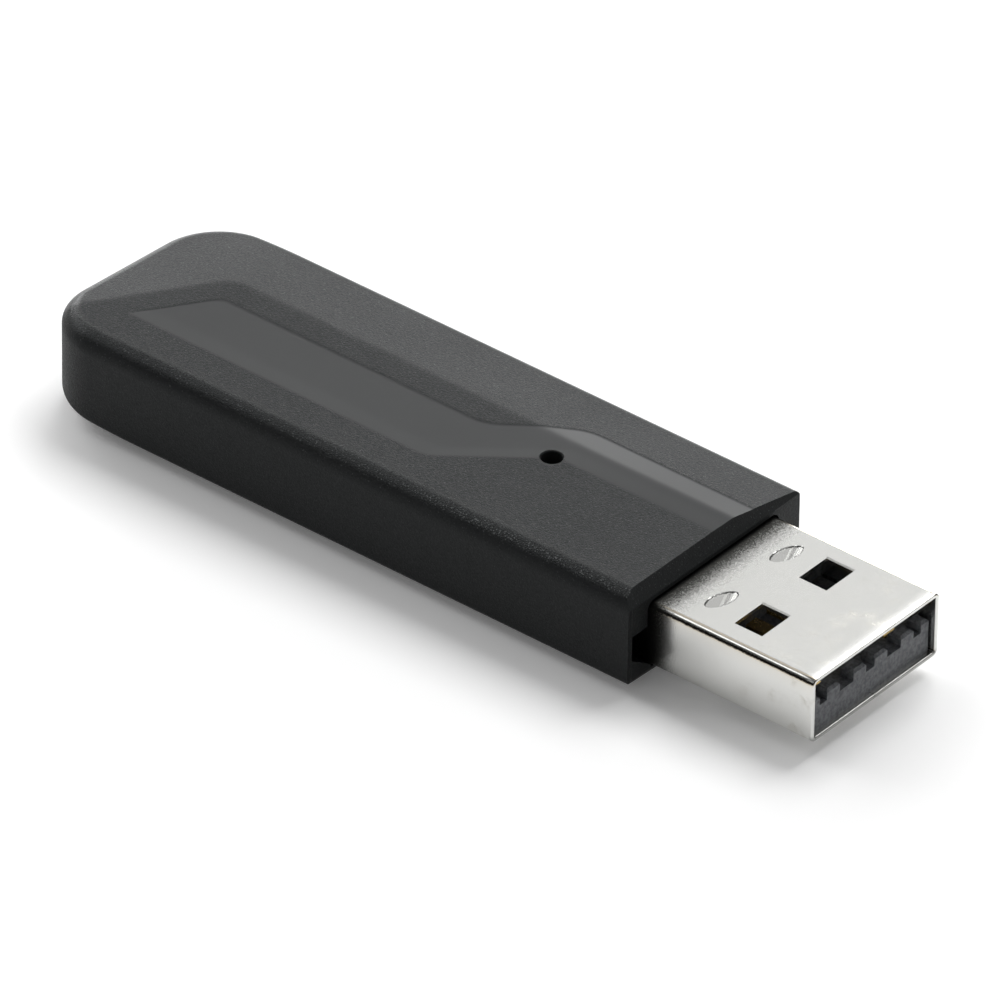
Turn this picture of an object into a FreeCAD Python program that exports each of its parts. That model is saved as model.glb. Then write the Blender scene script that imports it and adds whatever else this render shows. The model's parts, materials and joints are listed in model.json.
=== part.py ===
import FreeCAD, Part
import math
import os

from FreeCAD import Vector

# A stick-shaped USB radio adapter: a moulded housing in two shells, a folded steel plug with its
# insulator and four contacts, and a circuit board that carries the radio and its antenna.
# Millimetres. X runs towards the mouth of the plug, Y to the far side and Z up.
# The origin is the middle of the whole stick's outline, on the plane that it rests on.

# Overall sizes
housing_length = 46.3
housing_width = 16.2
housing_height = 7.1
plug_reach = 12.2

# Form of the housing
corner_radius = 4.3
slope = 0.136
crease_y = 2.4
crease_corner_from_rear = 7.0
crease_angle = 56.0
crease_bend = 1.8
crease_softness = 2.0
near_rim_radius = 1.3
rear_rim_radius = 0.95
far_rim_radius = 0.4
front_edge_radius = 0.4
front_strip_drop = 0.96
front_strip_depth = 0.6
parting_height = 4.15
wall = 1.1

# Smooth panel let into the top
panel_step = 0.1
panel_far_y = 0.5
panel_near_y = -4.4
panel_front_far_y = 4.25
panel_front_near_y = 0.5
panel_jog_front = 12.8
panel_jog_back = 18.2
panel_rear = 38.5
panel_bend = 1.4

# Light hole over the status light
light_hole_back = 12.74
light_hole_y = 0.34
light_hole_diameter = 1.35

# Joint between the shells
lip_thickness = 0.5
lip_height = 0.8
lip_gap = 0.05
catch_depth = 0.2
catch_length = 4.0
catch_height = 0.45
catch_shares = (0.2, 0.75)

# Plug: folded sheet to the standard section
plug_width = 12.0
plug_height = 4.5
plug_bottom = 1.15
plug_corner = 0.6
sheet = 0.3
plug_seat_length = 5.6
rim_chamfer = 0.1
window_length = 2.1
window_width = 2.59
window_from_mouth = 5.16
window_y = 3.04
seam_gap = 0.06
seam_key_length = 1.6
seam_key_reach = 1.1
seam_key_flare = 0.33
seam_key_from_mouth = 3.2
dimple_length = 2.4
dimple_width = 1.15
dimple_depth = 0.22
dimple_ramp = 0.6
dimple_from_mouth = 9.3
dimple_y = 3.0

# Opening in the housing's front round the plug
opening_gap = 0.28
pocket_half_width = 7.7
pocket_floor = 2.4
pocket_foot_y = 5.9
pocket_foot = 1.25
lip_under_plug = 0.1
seat_gap = 0.05

# Insulator and contacts
tongue_setback = 0.4
tongue_side_gap = 0.15
tongue_block_from_mouth = 8.6
nose_height = 0.68
nose_length = 1.0
nose_width = 1.2
nose_chamfer = 0.17
shoulder_width = 0.75
contact_width = 1.0
contact_thickness = 0.23
inner_contact_y = 1.0
outer_contact_y = 3.5
outer_contact_from_mouth = 1.6
inner_contact_from_mouth = 2.6
contact_foot = 2.2
contact_solder_length = 0.46

# Circuit board and what holds it
board_thickness = 1.0
board_top = 3.12
board_gap = 0.2
board_from_plug = 0.1
leg_length = 1.8
leg_offset = 1.0
leg_drop = 1.15
leg_slot_gap = 0.15
shell_solder_height = 0.6
shell_solder_spread = 0.3
tail_height = 0.85
tail_top = 4.75
post_width = 1.6
post_from_edge = 1.2
post_shares = (0.22, 0.98)
pin_diameter = 1.0
pin_gap = 0.1
pin_height = 0.5
pin_from_edge = 1.3
pin_share = 0.48
rib_thickness = 0.8
cradle_backs = (2.6, 4.6)
hold_down_gap = 0.05

# Antenna printed on the rear of the board
copper = 0.07
antenna_line = 0.5
antenna_pitch = 1.5
antenna_runs = 5
antenna_half_width = 4.2
antenna_margin = 1.0
antenna_feed = 1.0

# Parts on the board; a share is the place between the contacts and the antenna
bridge_share = 0.34
bridge_size = 4.0
bridge_height = 0.8
controller_share = 0.63
controller_size = 7.0
controller_height = 0.9
amplifier_share = 0.9
amplifier_size = 3.0
amplifier_height = 0.75
terminal_pitch = 0.65
terminal_width = 0.3
terminal_proud = 0.05
terminal_rise = 0.2
terminal_from_corner = 0.5
mark_radius = 0.25
mark_from_edge = 0.6
mark_depth = 0.06
crystal_share = 0.62
crystal_length = 3.2
crystal_from_edge = 1.4
main_crystal_width = 2.0
clock_crystal_width = 1.5
crystal_height = 0.8
lid_height = 0.3
lid_inset = 0.15
regulator_length = 2.9
regulator_width = 1.5
regulator_height = 1.1
regulator_from_edge = 2.4
protector_width = 1.3
protector_height = 1.0
protector_from_edge = 5.1
lead_thickness = 0.15
lead_standoff = 0.1
lead_width = 0.45
lead_reach = 0.6
lead_pitch = 0.95
bead_length = 2.0
bead_width = 1.2
bead_height = 0.9
bead_from_edge = 2.9
chip_part_length = 1.0
chip_part_width = 0.5
capacitor_height = 0.5
resistor_height = 0.35
end_cap_share = 0.2
end_cap_proud = 0.02
light_length = 1.6
light_width = 0.8
light_base = 0.25
light_height = 0.65
lens_length = 1.0
lens_chamfer = 0.1
part_gap = 0.15

# Places worked out from the sizes above
rear_x = -(housing_length + plug_reach) / 2
front_x = rear_x + housing_length
tip_x = front_x + plug_reach
half_width = housing_width / 2
middle_z = housing_height / 2
plug_top = plug_bottom + plug_height
plug_rear_x = front_x - plug_seat_length
plug_floor = plug_bottom + sheet
plug_roof = plug_top - sheet
board_front_x = plug_rear_x - board_from_plug
board_rear_x = rear_x + wall + board_gap
board_bottom = board_top - board_thickness
board_half_width = half_width - wall - board_gap
parts_front_x = board_front_x - contact_foot
antenna_rear_x = board_rear_x + antenna_margin
antenna_front_x = antenna_rear_x + (antenna_runs - 1) * antenna_pitch + antenna_line
parts_rear_x = antenna_front_x + antenna_feed
far_out = 2 * housing_width


def block(x0, x1, y0, y1, z0, z1):
    """A rectangular block between two corners."""
    return Part.makeBox(x1 - x0, y1 - y0, z1 - z0, Vector(x0, y0, z0))


def prism(points, direction):
    """A flat polygon drawn along a direction."""
    wire = Part.makePolygon(points + [points[0]])
    return Part.Face(wire).extrude(direction)


def turned(shape):
    """The shape turned half round the housing's long middle line."""
    copy = shape.copy()
    copy.rotate(Vector(0, 0, middle_z), Vector(1, 0, 0), 180)
    return copy


def rounded_wire(corners, z):
    """A closed outline through corners (x, y, radius), with a tangent arc in each corner."""
    segments = []
    count = len(corners)
    tangents = []
    for i in range(count):
        x, y, radius = corners[i]
        here = Vector(x, y, z)
        back = (Vector(corners[i - 1][0], corners[i - 1][1], z) - here).normalize()
        ahead = Vector(corners[(i + 1) % count][0], corners[(i + 1) % count][1], z) - here
        ahead.normalize()
        half_turn = back.getAngle(ahead) / 2
        reach = radius / math.tan(half_turn)
        towards = (back + ahead).normalize()
        middle = here + towards * (radius / math.sin(half_turn) - radius)
        tangents.append((here + back * reach, middle, here + ahead * reach, radius))
    for i in range(count):
        start, middle, end, radius = tangents[i]
        if radius > 0:
            segments.append(Part.Arc(start, middle, end).toShape())
        following = tangents[(i + 1) % count][0]
        segments.append(Part.LineSegment(end, following).toShape())
    return Part.Wire(segments)


# Outer form of the housing


def outline(inset, z):
    """Plan of the housing drawn inwards: square corners in front, round corners at the rear."""
    x0 = rear_x + inset
    x1 = front_x - inset
    y1 = half_width - inset
    r = corner_radius - inset
    return rounded_wire([(x1, -y1, 0), (x1, y1, 0), (x0, y1, r), (x0, -y1, r)], z)


def crease_path(z):
    """The line where the flat roof turns into the slopes, from the front face out past the rear corner."""
    angle = math.radians(crease_angle)
    back = Vector(-1, 0, 0)
    outward = Vector(-math.cos(angle), -math.sin(angle), 0)
    corner = Vector(rear_x + crease_corner_from_rear, crease_y, z)
    reach = crease_bend * math.tan(angle / 2)
    start = corner - back * reach
    end = corner + outward * reach
    centre = start + Vector(0, -crease_bend, 0)
    middle = centre + (corner - centre).normalize() * crease_bend
    ahead = Vector(front_x + wall, crease_y, z)
    beyond = corner + outward * far_out
    return Part.Wire([
        Part.LineSegment(ahead, start).toShape(),
        Part.Arc(start, middle, end).toShape(),
        Part.LineSegment(end, beyond).toShape(),
    ])


def slope_cutter(roof):
    """Everything above the slopes that fall from the crease to the far side and to the rear."""
    path = crease_path(roof)
    start = Vector(front_x + wall, crease_y, roof)
    section = Part.makePolygon([
        start,
        start + Vector(0, 0, wall),
        start + Vector(0, housing_width, wall),
        start + Vector(0, housing_width, -slope * housing_width),
        start,
    ])
    return path.makePipeShell([section], True, False)


def upper_half(inset):
    """The form above mid height, drawn inwards by an inset on every side."""
    roof = housing_height - inset
    body = Part.Face(outline(inset, middle_z)).extrude(Vector(0, 0, roof - middle_z))
    return body.cut(slope_cutter(roof))


def three_points(edge):
    """Both ends and the middle of an edge."""
    span = edge.LastParameter - edge.FirstParameter
    return [edge.valueAt(edge.FirstParameter + span * share) for share in (0, 0.5, 1)]


def crease_edges(shape):
    """Edges of the flat roof that run inside the outline."""
    found = []
    for edge in shape.Edges:
        points = three_points(edge)
        level = all(abs(p.z - housing_height) < 1e-4 for p in points)
        m = points[1]
        inside = abs(m.y) < half_width - wall / 2 and rear_x + wall / 2 < m.x < front_x - wall / 2
        if level and inside:
            found.append(edge)
    return found


def rim_radius(point):
    """Large along the near side, middling along the rear and small along the far side."""
    if point.x > rear_x + corner_radius - 0.01:
        return near_rim_radius if point.y < 0 else far_rim_radius
    side_radius = near_rim_radius if point.y < 0 else far_rim_radius
    straight = half_width - corner_radius
    share = max(abs(point.y) - straight, 0) / corner_radius
    return rear_rim_radius + (side_radius - rear_rim_radius) * share


def rounded_rim(shape):
    """The half form with its rim rounded by a radius that changes along the rear."""
    document = FreeCAD.newDocument("rim")
    source = document.addObject("Part::Feature", "source")
    source.Shape = shape
    fillet = document.addObject("Part::Fillet", "fillet")
    fillet.Base = source
    rows = []
    for number, edge in enumerate(source.Shape.Edges, 1):
        points = three_points(edge)
        high = all(p.z > middle_z + wall for p in points)
        behind_front = points[1].x < front_x - 0.01
        on_wall = all(outline(0, p.z).distToShape(Part.Vertex(p))[0] < 1e-3 for p in points)
        if high and behind_front and on_wall:
            ends = [vertex.Point for vertex in edge.Vertexes]
            rows.append((number, rim_radius(ends[0]), rim_radius(ends[-1])))
    fillet.Edges = rows
    document.recompute()
    result = fillet.Shape.copy()
    FreeCAD.closeDocument(document.Name)
    return result


def front_corner_cutter(side):
    """What a round upright edge takes off one front corner."""
    r = front_edge_radius
    y = side * half_width
    corner = block(front_x - r, front_x + r, y - r, y + r, 0, housing_height)
    post = Part.makeCylinder(r, housing_height, Vector(front_x - r, y - side * r, 0))
    return corner.cut(post).cut(block(front_x - 3 * r, front_x - r, -far_out, far_out, 0, housing_height))


def front_strip_cutter():
    """Wedge above the narrow bevel along the top of the front face."""
    drop_z = housing_height - front_strip_drop
    rise = front_strip_drop / front_strip_depth
    a = Vector(front_x - front_strip_depth - wall, -far_out, housing_height + wall * rise)
    b = Vector(front_x + wall, -far_out, drop_z - wall * rise)
    c = Vector(front_x + wall, -far_out, housing_height + wall * rise)
    return prism([a, b, c], Vector(0, 2 * far_out, 0))


def outer_form():
    """The whole housing as one solid: the upper form and the same form turned over beneath it."""
    sharp = upper_half(0)
    upper = rounded_rim(sharp.makeFillet(crease_softness, crease_edges(sharp)))
    form = upper.fuse(turned(upper)).removeSplitter()
    form = form.cut(front_strip_cutter())
    for side in (-1, 1):
        form = form.cut(front_corner_cutter(side))
    return form


def panel_cutter():
    """A thin layer of the top under the panel's outline."""
    jog = (panel_far_y - panel_near_y) / math.tan(math.radians(crease_angle))
    corners = [
        (front_x + wall, panel_front_far_y, 0),
        (front_x - panel_jog_front, panel_front_far_y, panel_bend),
        (front_x - panel_jog_back, panel_far_y, panel_bend),
        (front_x - panel_rear, panel_far_y, panel_bend),
        (front_x - panel_rear - jog, panel_near_y, panel_bend),
        (front_x - panel_jog_back, panel_near_y, panel_bend),
        (front_x - panel_jog_front, panel_front_near_y, panel_bend),
        (front_x + wall, panel_front_near_y, 0),
    ]
    column = Part.Face(rounded_wire(corners, middle_z)).extrude(Vector(0, 0, middle_z + wall))
    keep = upper_half(0)
    keep.translate(Vector(0, 0, -panel_step))
    return column.cut(keep)


# Plug


def plug_section(grow, x):
    """Rounded section of the plug, drawn outwards by an amount, across X."""
    y = plug_width / 2 + grow
    r = plug_corner + grow
    z0 = plug_bottom - grow
    z1 = plug_top + grow
    flat = rounded_wire([(z0, -y, r), (z0, y, r), (z1, y, r), (z1, -y, r)], 0)
    placed = flat.copy()
    placed.transformShape(FreeCAD.Matrix(0, 0, 1, x, 0, 1, 0, 0, 1, 0, 0, 0, 0, 0, 0, 1))
    return placed


def plug_bar(grow, x0, x1):
    """A solid bar of the plug's section between two places along X."""
    return Part.Face(plug_section(grow, x0)).extrude(Vector(x1 - x0, 0, 0))


def dimple(grow, y):
    """Trough that presses a dimple into the plug's roof: a round bar across it, with sloping ends."""
    half = dimple_width / 2
    radius = (half * half + dimple_depth * dimple_depth) / (2 * dimple_depth)
    axis_z = plug_top + radius - dimple_depth
    x = tip_x - dimple_from_mouth
    reach = dimple_length / 2 + grow
    bar = Part.makeCylinder(radius + grow, 2 * reach, Vector(x, y - reach, axis_z), Vector(0, 1, 0))
    floor = reach - dimple_ramp
    points = [
        Vector(x - radius - grow, y - reach, plug_top),
        Vector(x - radius - grow, y - floor, plug_top - dimple_depth - grow),
        Vector(x - radius - grow, y + floor, plug_top - dimple_depth - grow),
        Vector(x - radius - grow, y + reach, plug_top),
    ]
    return bar.common(prism(points, Vector(2 * (radius + grow), 0, 0)))


def seam_key(grow):
    """Dovetail that locks the folded sheet's two edges under the plug."""
    x = tip_x - seam_key_from_mouth - seam_key_length / 2
    narrow = seam_key_length / 2 - seam_key_flare + grow
    wide = seam_key_length / 2 + grow
    root = -seam_gap
    points = [
        Vector(x - narrow, root, plug_bottom),
        Vector(x - wide, seam_key_reach + grow, plug_bottom),
        Vector(x + wide, seam_key_reach + grow, plug_bottom),
        Vector(x + narrow, root, plug_bottom),
    ]
    return prism(points, Vector(0, 0, sheet))


def plug_shell():
    """Folded tube with four latch windows, two dimples, a locked seam and two legs for the board."""
    inside = plug_bar(-sheet, plug_rear_x, tip_x)
    shell = plug_bar(0, plug_rear_x, tip_x).cut(inside)
    mouth = [edge for edge in shell.Edges if all(abs(p.x - tip_x) < 1e-4 for p in three_points(edge))]
    shell = shell.makeChamfer(rim_chamfer, mouth)
    window_x = tip_x - window_from_mouth
    for side in (-1, 1):
        y = side * window_y
        w = window_width / 2
        shell = shell.cut(block(window_x - window_length, window_x, y - w, y + w, 0, housing_height))
        shell = shell.fuse(dimple(sheet, side * dimple_y).common(inside))
        shell = shell.cut(dimple(0, side * dimple_y))
    slit = block(plug_rear_x, tip_x, -seam_gap / 2, seam_gap / 2, plug_bottom, plug_floor)
    shell = shell.cut(slit).cut(seam_key(seam_gap)).fuse(seam_key(0))
    for side in (-1, 1):
        shell = shell.fuse(plug_leg(side, 0))
    return shell.removeSplitter()


def plug_leg(side, gap):
    """Tail of the plug's side wall, with a leg through the board; the gap makes it the board's slot."""
    outer = side * (plug_width / 2 + gap)
    inner = side * (plug_width / 2 - sheet - gap)
    leg_front = plug_rear_x - leg_offset
    leg_rear = leg_front - leg_length
    bottom = board_top - leg_drop
    profile = [
        (plug_rear_x, tail_top),
        (leg_rear - gap, tail_top),
        (leg_rear - gap, bottom),
        (leg_front + gap, bottom),
        (leg_front + gap, tail_top - tail_height),
        (plug_rear_x, tail_top - tail_height),
    ]
    points = [Vector(x, inner, z) for x, z in profile]
    return prism(points, Vector(0, outer - inner, 0))


def contact_places():
    """Name, Y and front end of the four contacts, from the near side to the far side."""
    return [
        ("contact_vbus", -outer_contact_y, outer_contact_from_mouth),
        ("contact_data_minus", -inner_contact_y, inner_contact_from_mouth),
        ("contact_data_plus", inner_contact_y, inner_contact_from_mouth),
        ("contact_ground", outer_contact_y, outer_contact_from_mouth),
    ]


def contact(y, from_mouth):
    """A stamped strip: its front end dives into the tongue, its rear end lies on the board."""
    front = tip_x - from_mouth
    rear = board_front_x - contact_foot
    t = contact_thickness
    bend = 2 * t
    z = board_top
    top_start = Vector(rear, y - contact_width / 2, z + t)
    top_end = Vector(front - bend, top_start.y, z + t)
    tip_out = Vector(front, top_start.y, z + t - bend)
    tip_in = Vector(front - t, top_start.y, z + t - bend)
    under_end = Vector(front - bend, top_start.y, z)
    under_start = Vector(rear, top_start.y, z)
    centre = Vector(front - bend, top_start.y, z + t - bend)
    slant = Vector(math.sqrt(0.5), 0, math.sqrt(0.5))
    edges = [
        Part.LineSegment(top_start, top_end).toShape(),
        Part.Arc(top_end, centre + slant * bend, tip_out).toShape(),
        Part.LineSegment(tip_out, tip_in).toShape(),
        Part.Arc(tip_in, centre + slant * (bend - t), under_end).toShape(),
        Part.LineSegment(under_end, under_start).toShape(),
        Part.LineSegment(under_start, top_start).toShape(),
    ]
    return Part.Face(Part.Wire(edges)).extrude(Vector(0, contact_width, 0))


def plug_insulator():
    """Tongue under the contacts, noses and shoulders at its front, and the block that fills the tube."""
    tongue_front = tip_x - tongue_setback
    block_front = tip_x - tongue_block_from_mouth
    side = plug_width / 2 - sheet - tongue_side_gap
    filling = plug_bar(-sheet, plug_rear_x, block_front)
    tongue = block(block_front, tongue_front, -side, side, plug_floor, board_top)
    body = filling.fuse(tongue.common(plug_bar(-sheet, block_front, tip_x)))
    nose_top = board_top + nose_height
    nose_rear = tongue_front - nose_length
    bars = [(y, nose_width) for y in (-outer_contact_y, -inner_contact_y, inner_contact_y, outer_contact_y)]
    bars += [(end * (side - shoulder_width / 2), shoulder_width) for end in (-1, 1)]
    for y, width in bars:
        w = width / 2
        nose = block(nose_rear, tongue_front, y - w, y + w, board_top, nose_top)
        top_edges = [e for e in nose.Edges if all(abs(p.z - nose_top) < 1e-4 for p in three_points(e))]
        body = body.fuse(nose.makeChamfer(nose_chamfer, top_edges))
    for name, y, from_mouth in contact_places():
        body = body.cut(contact(y, from_mouth))
    x = tip_x - dimple_from_mouth
    half = dimple_width / 2 + sheet
    reach = dimple_length / 2 + sheet + seat_gap
    floor = plug_roof - dimple_depth - seat_gap
    for end in (-1, 1):
        y = end * dimple_y
        body = body.cut(block(x - half, x + half, y - reach, y + reach, floor, plug_roof))
    return body.removeSplitter()


# Shells of the housing


def joint_ring(outer_inset, inner_inset, z0, z1):
    """A band that follows the housing's wall, from behind the plug round the rear."""
    band = Part.Face(outline(outer_inset, z0)).extrude(Vector(0, 0, z1 - z0))
    band = band.cut(Part.Face(outline(inner_inset, z0)).extrude(Vector(0, 0, z1 - z0)))
    return band.cut(block(plug_rear_x, front_x + wall, -far_out, far_out, z0, z1))


def catch_places():
    """Middle of each snap catch along X, clear of the rear corners and of the plug."""
    straight_start = rear_x + corner_radius
    straight = plug_rear_x - straight_start
    return [straight_start + straight * share for share in catch_shares]


def catches(grow):
    """Wedges on the outside of the joint's lip; grown, they are the recesses that take them."""
    solids = []
    base = half_width - wall + lip_thickness
    low = parting_height + lip_height - catch_height - grow
    high = parting_height + lip_height - lip_gap
    for x in catch_places():
        for side in (-1, 1):
            points = [
                Vector(x - catch_length / 2 - grow, side * (base - lip_gap), low),
                Vector(x - catch_length / 2 - grow, side * (base + catch_depth + grow), low),
                Vector(x - catch_length / 2 - grow, side * (base - lip_gap), high),
            ]
            solids.append(prism(points, Vector(catch_length + 2 * grow, 0, 0)))
    return solids


def whole_form(inset):
    """Both halves of the form, drawn inwards and with sharp edges."""
    upper = upper_half(inset)
    return upper.fuse(turned(upper)).removeSplitter()


def along_board(share):
    """X of a place on the board, as a share of the way from the contacts to the antenna."""
    return parts_front_x + (parts_rear_x - parts_front_x) * share


def post_places():
    """Middle of each board post in plan."""
    y = board_half_width - post_from_edge
    return [(along_board(share), side * y) for share in post_shares for side in (-1, 1)]


def pin_places():
    """Middle of each locating pin in plan."""
    y = board_half_width - pin_from_edge
    return [(along_board(pin_share), side * y) for side in (-1, 1)]


def bottom_housing(form, hollow, mid_wall):
    """Lower shell: walls, front pocket for the plug, joint lip with catches, board posts and pins.

    What stands on a wall starts in the middle of that wall.
    """
    shell = form.common(block(rear_x, front_x, -half_width, half_width, 0, parting_height)).cut(hollow)
    side = wall - lip_thickness
    shell = shell.fuse(joint_ring(side, wall, parting_height - wall, parting_height + lip_height))
    for wedge in catches(0):
        shell = shell.fuse(wedge)
    for x, y in post_places():
        post = block(x - post_width / 2, x + post_width / 2, y - post_width / 2, y + post_width / 2,
                     0, board_bottom)
        shell = shell.fuse(post.common(mid_wall))
    for x, y in pin_places():
        foot = Vector(x, y, 0)
        pin = Part.makeCylinder(pin_diameter / 2, board_top + pin_height, foot)
        pad = Part.makeCylinder(post_width / 2, board_bottom, foot)
        shell = shell.fuse(pin.fuse(pad).common(mid_wall))
    for back in cradle_backs:
        shell = shell.fuse(cradle_rib(back, 0, parting_height).common(mid_wall))
    lip_z = plug_bottom - lip_under_plug
    profile = [
        (-pocket_half_width, parting_height + lip_height),
        (-pocket_half_width, pocket_floor),
        (-pocket_foot_y, pocket_foot),
        (-pocket_foot_y, lip_z),
        (pocket_foot_y, lip_z),
        (pocket_foot_y, pocket_foot),
        (pocket_half_width, pocket_floor),
        (pocket_half_width, parting_height + lip_height),
    ]
    pocket = prism([Vector(front_x - wall, y, z) for y, z in profile], Vector(2 * wall, 0, 0))
    shell = shell.cut(pocket).cut(plug_bar(seat_gap, plug_rear_x - board_from_plug, tip_x))
    return shell.removeSplitter()


def cradle_rib(back, z0, z1):
    """Pair of ribs that stand between the side walls and the plug."""
    x = front_x - back
    reach = half_width - wall / 2
    pair = block(x - rib_thickness / 2, x + rib_thickness / 2, -reach, reach, z0, z1)
    return pair.cut(plug_bar(seat_gap, plug_rear_x, tip_x))


def top_housing(form, hollow, mid_wall):
    """Upper shell: roof with slopes and panel, light hole, groove for the joint, ribs on the board."""
    shell = form.common(block(rear_x, front_x, -half_width, half_width, parting_height, housing_height))
    shell = shell.cut(hollow).cut(panel_cutter())
    side = wall - lip_thickness - lip_gap
    shell = shell.cut(joint_ring(side, wall, parting_height, parting_height + lip_height + lip_gap))
    for wedge in catches(lip_gap):
        shell = shell.cut(wedge)
    for x, y in post_places():
        rib = block(x - post_width / 2, x + post_width / 2, y - rib_thickness / 2, y + rib_thickness / 2,
                    board_top + hold_down_gap, housing_height)
        shell = shell.fuse(rib.common(mid_wall))
    for back in cradle_backs:
        shell = shell.fuse(cradle_rib(back, parting_height, housing_height).common(mid_wall))
    shell = shell.cut(plug_bar(opening_gap, front_x - wall, tip_x))
    shell = shell.cut(plug_bar(seat_gap, plug_rear_x - board_from_plug, tip_x))
    hole = Part.makeCylinder(light_hole_diameter / 2, housing_height,
                             Vector(front_x - light_hole_back, light_hole_y, middle_z))
    return shell.cut(hole).removeSplitter()


# Circuit board


def circuit_board():
    """Board that follows the housing's inside, with notches for the plug's legs and two locating holes."""
    board = Part.Face(outline(wall + board_gap, board_bottom)).extrude(Vector(0, 0, board_thickness))
    board = board.cut(block(board_front_x, front_x, -far_out, far_out, 0, housing_height))
    notch_front = plug_rear_x - leg_offset + leg_slot_gap
    notch_rear = plug_rear_x - leg_offset - leg_length - leg_slot_gap
    notch_y = plug_width / 2 - sheet - leg_slot_gap
    for side in (-1, 1):
        low, high = sorted((side * notch_y, side * far_out))
        board = board.cut(block(notch_rear, notch_front, low, high, 0, housing_height))
    for x, y in pin_places():
        board = board.cut(Part.makeCylinder(pin_diameter / 2 + pin_gap, housing_height, Vector(x, y, 0)))
    return board


def antenna_trace():
    """Printed meander across the rear of the board, fed from its front end."""
    solids = []
    line = antenna_line
    reach = antenna_half_width
    for run in range(antenna_runs):
        x = antenna_rear_x + run * antenna_pitch
        solids.append(block(x, x + line, -reach, reach, board_top, board_top + copper))
        if run + 1 < antenna_runs:
            end = reach if run % 2 else line - reach
            solids.append(block(x, x + antenna_pitch + line, end - line, end, board_top, board_top + copper))
    end = reach if (antenna_runs - 1) % 2 else line - reach
    solids.append(block(antenna_front_x - line, parts_rear_x, end - line, end, board_top, board_top + copper))
    trace = solids[0]
    for piece in solids[1:]:
        trace = trace.fuse(piece)
    return trace.removeSplitter()


# Parts on the board


def flat_chip(share, size, height):
    """Flat leadless chip on the middle line: a body with a marked corner and terminals on each side."""
    x = along_board(share)
    y = 0
    h = size / 2
    body = block(x - h, x + h, y - h, y + h, board_top, board_top + height)
    corner = h - mark_from_edge
    mark_foot = Vector(x - corner, y - corner, board_top + height - mark_depth)
    body = body.cut(Part.makeCylinder(mark_radius, height, mark_foot))
    count = int((size - 2 * terminal_from_corner) / terminal_pitch)
    a = terminal_width / 2
    out = h + terminal_proud
    top = board_top + terminal_rise
    for number in range(count):
        step = (number - (count - 1) / 2) * terminal_pitch
        body = body.fuse(block(x + step - a, x + step + a, y - out, y + out, board_top, top))
        body = body.fuse(block(x - out, x + out, y + step - a, y + step + a, board_top, top))
    return body.removeSplitter()


def leaded_chip(from_edge, length, width, height, near_leads, far_leads):
    """Small moulded package in the first row behind the contacts, with bent leads on its long sides."""
    x = first_row_x(length)
    y = from_edge - board_half_width
    t = lead_thickness
    h = length / 2
    w = width / 2
    body = block(x - h, x + h, y - w, y + w, board_top + lead_standoff, board_top + height)
    rise = board_top + height / 2
    for side, offsets in ((-1, near_leads), (1, far_leads)):
        edge = y + side * width / 2
        knee = edge + side * lead_reach / 2
        tip = edge + side * lead_reach
        profile = [
            (edge - side * t, rise),
            (knee, rise),
            (knee, board_top + t),
            (tip, board_top + t),
            (tip, board_top),
            (knee - side * t, board_top),
            (knee - side * t, rise - t),
            (edge - side * t, rise - t),
        ]
        for offset in offsets:
            points = [Vector(x + offset - lead_width / 2, py, pz) for py, pz in profile]
            body = body.fuse(prism(points, Vector(lead_width, 0, 0)))
    return body.removeSplitter()


def first_row_x(length):
    """Middle of a part that stands just behind the solder of the contacts."""
    return parts_front_x - contact_solder_length - part_gap - length / 2


def crystal(side, width):
    """Sealed crystal beside the controller: a ceramic base with a slightly smaller metal lid."""
    x = along_board(crystal_share)
    y = side * (board_half_width - crystal_from_edge)
    top = board_top + crystal_height
    ledge = top - lid_height
    half = crystal_length / 2
    base = block(x - half, x + half, y - width / 2, y + width / 2, board_top, ledge)
    half = half - lid_inset
    w = width / 2 - lid_inset
    lid = block(x - half, x + half, y - w, y + w, ledge, top)
    uprights = [e for e in lid.Edges if abs(three_points(e)[0].z - three_points(e)[2].z) > lid_inset]
    return base.fuse(lid.makeChamfer(lid_inset, uprights))


def two_ended(x, y, length, width, height, along_x):
    """Two-ended surface part: end caps a little larger than the body between them."""
    cap = length * end_cap_share
    ease = end_cap_proud
    half = length / 2
    w = width / 2
    body = block(-half, half, -w + ease, w - ease, 0, height - ease)
    body = body.fuse(block(-half, cap - half, -w, w, 0, height))
    body = body.fuse(block(half - cap, half, -w, w, 0, height)).removeSplitter()
    if not along_x:
        body.rotate(Vector(0, 0, 0), Vector(0, 0, 1), 90)
    body.translate(Vector(x, y, board_top))
    return body


def status_light():
    """Surface light under the light hole: a base with a clear block that carries the glow."""
    x = front_x - light_hole_back
    y = light_hole_y
    half = light_length / 2
    w = light_width / 2
    ledge = board_top + light_base
    top = board_top + light_height
    base = block(x - half, x + half, y - w, y + w, board_top, ledge)
    lens = block(x - lens_length / 2, x + lens_length / 2, y - w, y + w, ledge, top)
    upper_edges = [e for e in lens.Edges if all(abs(p.z - top) < 1e-4 for p in three_points(e))]
    return base.fuse(lens.makeChamfer(lens_chamfer, upper_edges))


def shell_solder(side):
    """Solder that tapers up round one leg of the plug, on top of the board."""
    x = plug_rear_x - leg_offset - leg_length / 2
    y = plug_width / 2 - sheet / 2
    foot = leg_length / 2 + shell_solder_spread
    head = foot - leg_slot_gap
    outer = plug_width / 2 + leg_slot_gap
    levels = (
        (board_top, foot, y - 2 * shell_solder_spread, outer),
        (board_top + shell_solder_height, head, y - sheet, outer),
    )
    rings = []
    for z, reach, inner, outer in levels:
        corners = ((-reach, inner), (reach, inner), (reach, outer), (-reach, outer), (-reach, inner))
        rings.append(Part.makePolygon([Vector(x + dx, side * py, z) for dx, py in corners]))
    return Part.makeLoft(rings, True, True).cut(plug_leg(side, 0))


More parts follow.
